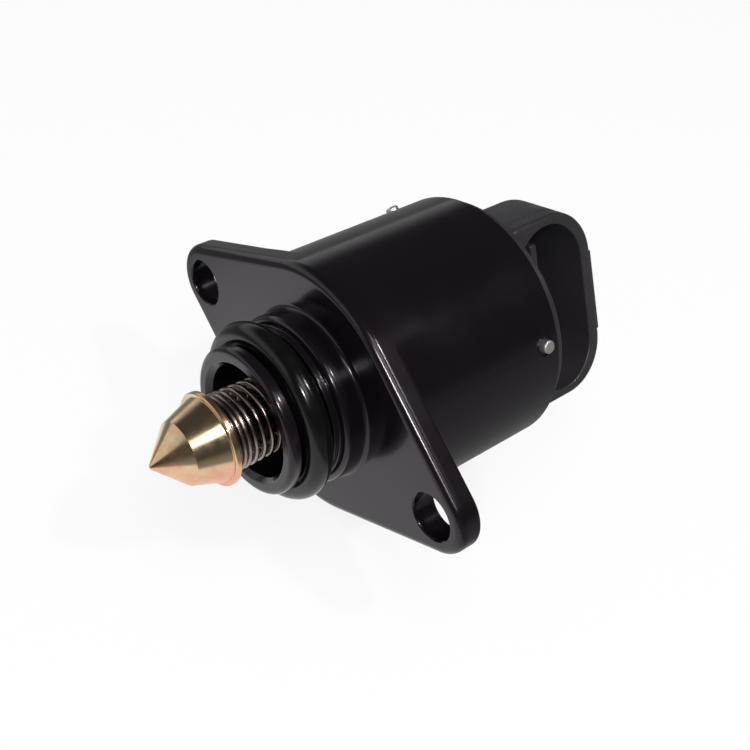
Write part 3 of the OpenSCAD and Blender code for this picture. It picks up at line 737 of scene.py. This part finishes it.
def slotRing(height, x0, x1, z0, z1, near, far, steps=16, hold=0.15):
    # A rectangle in x and z with rounded corners, near ones by x0 and far ones by x1. Each corner
    # is centre + radius (cos a, sin a), and starts and ends on a short straight.
    hold = min(hold, 0.3 * min(x1 - x0 - near - far, z1 - z0 - 2 * near, z1 - z0 - 2 * far))
    ring = []
    for cx, cz, r, start in ((x1 - far, z1 - far, far, 0), (x0 + near, z1 - near, near, 90),
                             (x0 + near, z0 + near, near, 180), (x1 - far, z0 + far, far, 270)):
        a = np.radians(np.linspace(start, start + 90, steps + 1))
        bend = np.column_stack((cx + r * np.cos(a), cz + r * np.sin(a)))
        along = np.column_stack((-np.sin(a), np.cos(a))) * hold
        ring += [bend[:1] - along[:1], bend, bend[-1:] + along[-1:]]
    ring = np.vstack(ring)
    return np.column_stack((height + 0 * ring[:, 0], ring))


def capDisc(s, canEnd):
    # The plug in the can with its seal groove and its bush seat, and the rim behind the can
    front, rear = s["sealX"] - s["sealHalf"], s["sealX"] + s["sealHalf"]
    return turned(roundedPath([
        (s["bushEnd"], 0, 0), (s["bushEnd"], s["bushR"], 0), (s["plugX"], s["bushR"], s["bushRound"]),
        (s["plugX"], s["plugR"], s["plugRound"]), (front, s["plugR"], 0), (front, s["sealR"], 0),
        (rear, s["sealR"], 0), (rear, s["plugR"], 0), (canEnd, s["plugR"], 0),
        (canEnd, s["rimR"], s["rimLap"]), (s["rimEnd"], s["rimR"], s["rimRound"]), (s["rimEnd"], 0, 0)
    ]), ringAngles(240))


def socketShell(s):
    # Rings from the block's underside up its wall, out to the shell, up past the groove, over
    # the mouth and down the socket to its floor
    quarter = quarterRound(8)
    under, root, mouth, floor, hold = s["under"], s["root"], s["mouth"], s["floor"], s["hold"]

    def shellRing(height, inset=0.0):
        low = (mouth - height) / (mouth - root)
        half = s["shellHalf"] + s["flareHalf"] * low - inset
        return slotRing(height, s["start"], s["shellX"] + s["flareX"] * low - inset, -half, half,
                        s["near"], s["shellFar"] + s["flareFar"] * low - inset)

    def blockRing(height, inset=0.0):
        half = s["blockHalf"] - inset
        return slotRing(height, s["start"], s["blockX"] - inset, -half, half,
                        s["near"], s["blockFar"] - inset)

    def socketRing(height, grow=0.0):
        half, r = s["socketHalf"] + grow, s["socketRound"] + grow
        return slotRing(height, s["socketX0"] - grow, s["socketX1"] + grow, -half, half, r, r)

    def pole(height):
        return 0 * socketRing(height) + (height, (s["socketX0"] + s["socketX1"]) / 2, 0)

    r = s["underRound"]
    rows = [pole(under), blockRing(under, r + s["underFlat"])]
    rows += [blockRing(under + r * inset, r * drop) for drop, inset in quarter]
    r = s["rootRound"]
    rows += [blockRing(root - r - s["rootHold"]), blockRing(root - r)]
    rows += [shellRing(root - r + r * inset, r * drop) for drop, inset in quarter]
    low, top, soft, deep = s["bandLow"], s["bandTop"], s["bandSoft"], s["bandDeep"]
    groove = (
        (low - hold, 0), (low - soft, 0), (low, soft), (low + soft, deep),
        (top - soft, deep), (top, soft), (top + soft, 0), (top + hold, 0),
    )
    rows += [shellRing(height, inset) for height, inset in groove]
    r = s["mouthRound"]
    rows += [shellRing(mouth - r - hold)]
    rows += [shellRing(mouth - r * drop, r * inset) for drop, inset in quarter]
    rows += [shellRing(mouth, r + s["mouthFlat"])]
    r = s["innerRound"]
    rows += [socketRing(mouth, r + s["innerFlat"])]
    rows += [socketRing(mouth - r * inset, r * drop) for drop, inset in quarter]
    rows += [socketRing(mouth - r - hold)]
    r = s["floorRound"]
    rows += [socketRing(floor + r + s["floorFlat"])]
    rows += [socketRing(floor + r * drop, -r * inset) for drop, inset in quarter]
    rows += [socketRing(floor, -r - s["floorFlat"]), pole(floor)]
    return facing(np.stack(rows), s["angle"])


def block(angle, x0, x1, z0, z1, low, top, r, lean=0.0):
    # An upright block with rounded top edges, wider by lean at its foot. The edges are drawn in
    # by 0.9 of their radius, so that a little of the corners' own radius is left at the top.
    def level(height, inset=0.0, grow=0.0):
        return slotRing(height, x0 + inset, x1 + grow - inset, z0 + inset, z1 - inset,
                        r - inset, r - inset)

    lid = 0 * level(top) + (top, (x0 + x1) / 2, (z0 + z1) / 2)
    rows = [lid + (low - top, lean / 2, 0), level(low, grow=lean), level(top - r)]
    rows += [level(top - r * drop, 0.9 * r * inset) for drop, inset in quarterRound(8)]
    return facing(np.stack(rows + [lid]), angle)


def makeCap(s):
    guides = [
        block(s["angle"], s["ribX"], s["ribX"] + s["ribT"], *sides, s["floor"] - s["floorRound"],
              s["ribTop"], s["ribRound"])
        for sides in ((s["ribNear"], s["ribFar"]), (-s["ribFar"], -s["ribNear"]))
    ]
    latch = block(s["angle"], s["latchX"], s["shellX"] + s["latchProud"], -s["latchHalf"],
                  s["latchHalf"], s["latchLow"], s["latchTop"], s["latchRound"], s["latchLean"])
    piece = solid("plugCap", [capDisc(s, housing["canEnd"]), socketShell(s), latch] + guides)
    dress(piece, "housing", "black_moulding", "connector_cap")


makeCap(plugCap)


# Three steel pins with slightly domed ends, in the housing's pin holes
capPins = {"r": 0.95, "start": 14.75, "end": 19.45, "startRound": 0.1, "endRound": 0.3, "dome": 0.05}


def makePins(s):
    section = roundedPath([
        (s["start"], 0, 0), (s["start"], s["r"], s["startRound"]),
        (s["end"] - s["dome"], s["r"], s["endRound"]), (s["end"], 0, 0)
    ], steps=8)
    pin = turned(section, ringAngles(64))
    piece = solid("capPins", [facing(pin, angle, housing["pinX"]) for angle in housing["pinAngles"]])
    dress(piece, "housing", "pin_steel", "retaining_pins")


makePins(capPins)
print("pieces made")


# Floor, lamps and world: a white table in a dim studio, with small soft lamps
studio = {
    # the floor, in metres: its matt tone, the share of white glow that the camera and gloss see
    # in it, and how strong gloss sees that glow near the point shineAt and far from it. This is painted
    # light: gloss sees a bright pool of glow round shineAt, and the dim glow farther off is painted shade
    # under the can.
    "floorSize": 6.0, "floorGap": 0.00002, "floorTone": 0.86, "floorSeen": 0.86, "floorShine": 0.88,
    "shineAt": (-0.05, -0.005, 0.0), "shineNear": 0.052, "shineFar": 0.08,
    "shineNearGlow": 1.0, "shineFarGlow": 0.16,
    "aimAt": (0, 0, 5), "distance": 600,
    "lamps": (
        {"name": "fillLamp", "away": (-0.1, -0.1, 1.0), "size": 420, "power": 1.1},
        {"name": "rearLamp", "away": (0.34, -0.42, 0.86), "size": 60, "power": 1.1},
        {"name": "frontLamp", "away": (-0.60, -0.43, 0.67), "size": 64, "power": 1.3},
        {"name": "panelLamp", "away": (-0.22, -0.42, 0.86), "size": 260, "power": 0.55},
    ),
    "noGloss": ("fillLamp",),  # lamps that gloss doesn't show
    # a white card behind, seen only in gloss: the way to its middle, where it starts and is
    # full, and how its glow fades upwards, on a slope
    "cardTo": (-0.34, 0.94), "cardEnd": 0.35, "cardFull": 0.5, "cardGlow": 0.85,
    "cardLow": 0.1, "cardHigh": 0.5, "cardSlope": 0.3,
    # the room, brighter near the horizon, and the plain light that it gives
    "roomGlow": 0.24, "roomLow": -0.02, "roomHigh": 0.2, "roomDark": 0.06, "skyDiffuse": 0.25,
}


def makeFloor(s):
    low, half = cadBox[0][2] - s["floorGap"], s["floorSize"] / 2
    corners = [(-half, -half, low), (half, -half, low), (half, half, low), (-half, half, low)]
    mesh = bpy.data.meshes.new("tableTop")
    mesh.from_pydata(corners, [], [(0, 1, 2, 3)])
    floor = bpy.data.objects.new("tableTop", mesh)
    bpy.context.scene.collection.objects.link(floor)
    b = Board("tableWhite")
    direct, glossy = b.rays()
    tone = s["floorTone"]
    matt = b.node("ShaderNodeBsdfDiffuse", None, Color=(tone, tone, tone))
    # Painted light in the floor: gloss sees its glow bright round shineAt and dim farther off, as painted
    # shade under the can
    apart = b.node("ShaderNodeVectorMath", {"operation": "DISTANCE"}, b.place(), s["shineAt"],
                   out="Value")
    shine = apart.step(s["shineNear"], s["shineFar"], s["shineNearGlow"], s["shineFarGlow"])
    glow = b.node("ShaderNodeEmission", None, Color=(1.0, 1.0, 1.0), Strength=direct + glossy * shine)
    share = direct * s["floorSeen"] + glossy * s["floorShine"]
    mesh.materials.append(b.finish(b.node("ShaderNodeMixShader", None, share, matt, glow)))


def makeLamps(s):
    aim, reach = Vector(s["aimAt"]) * mm, s["distance"] * mm
    for lamp in s["lamps"]:
        data = bpy.data.lights.new(lamp["name"], "AREA")
        data.shape, data.size, data.energy = "DISK", lamp["size"] * mm, lamp["power"]
        holder = bpy.data.objects.new(lamp["name"], data)
        holder.location = aim + Vector(lamp["away"]).normalized() * reach
        holder.rotation_euler = (aim - holder.location).to_track_quat("-Z", "Y").to_euler()
        holder.visible_glossy = lamp["name"] not in s["noGloss"]
        bpy.context.scene.collection.objects.link(holder)


def makeWorld(s):
    # White where the camera looks past the floor, dim with one card in gloss, and plain for light
    bpy.context.scene.world = bpy.data.worlds.new("studioWorld")
    w = Board("studioWorld", bpy.context.scene.world)
    direct, glossy = w.rays()
    x, y, z = w.split(w.node("ShaderNodeTexCoord", out="Generated"))
    card = (x * s["cardTo"][0] + y * s["cardTo"][1]).step(s["cardEnd"], s["cardFull"])
    cardShine = (z + x * s["cardSlope"]).step(s["cardLow"], s["cardHigh"], s["cardGlow"], s["roomDark"])
    roomShine = z.step(s["roomLow"], s["roomHigh"], s["roomGlow"], s["roomDark"])
    shine = card * cardShine + (1 - card) * roomShine
    rest = (1 - direct) * (1 - glossy)
    w.finish(w.node("ShaderNodeBackground", None, Color=(1.0, 1.0, 1.0),
                    Strength=direct + glossy * shine + rest * s["skyDiffuse"]))


bpy.context.scene.view_settings.view_transform = "Standard"
makeFloor(studio)
makeLamps(studio)
makeWorld(studio)
print("studio made")
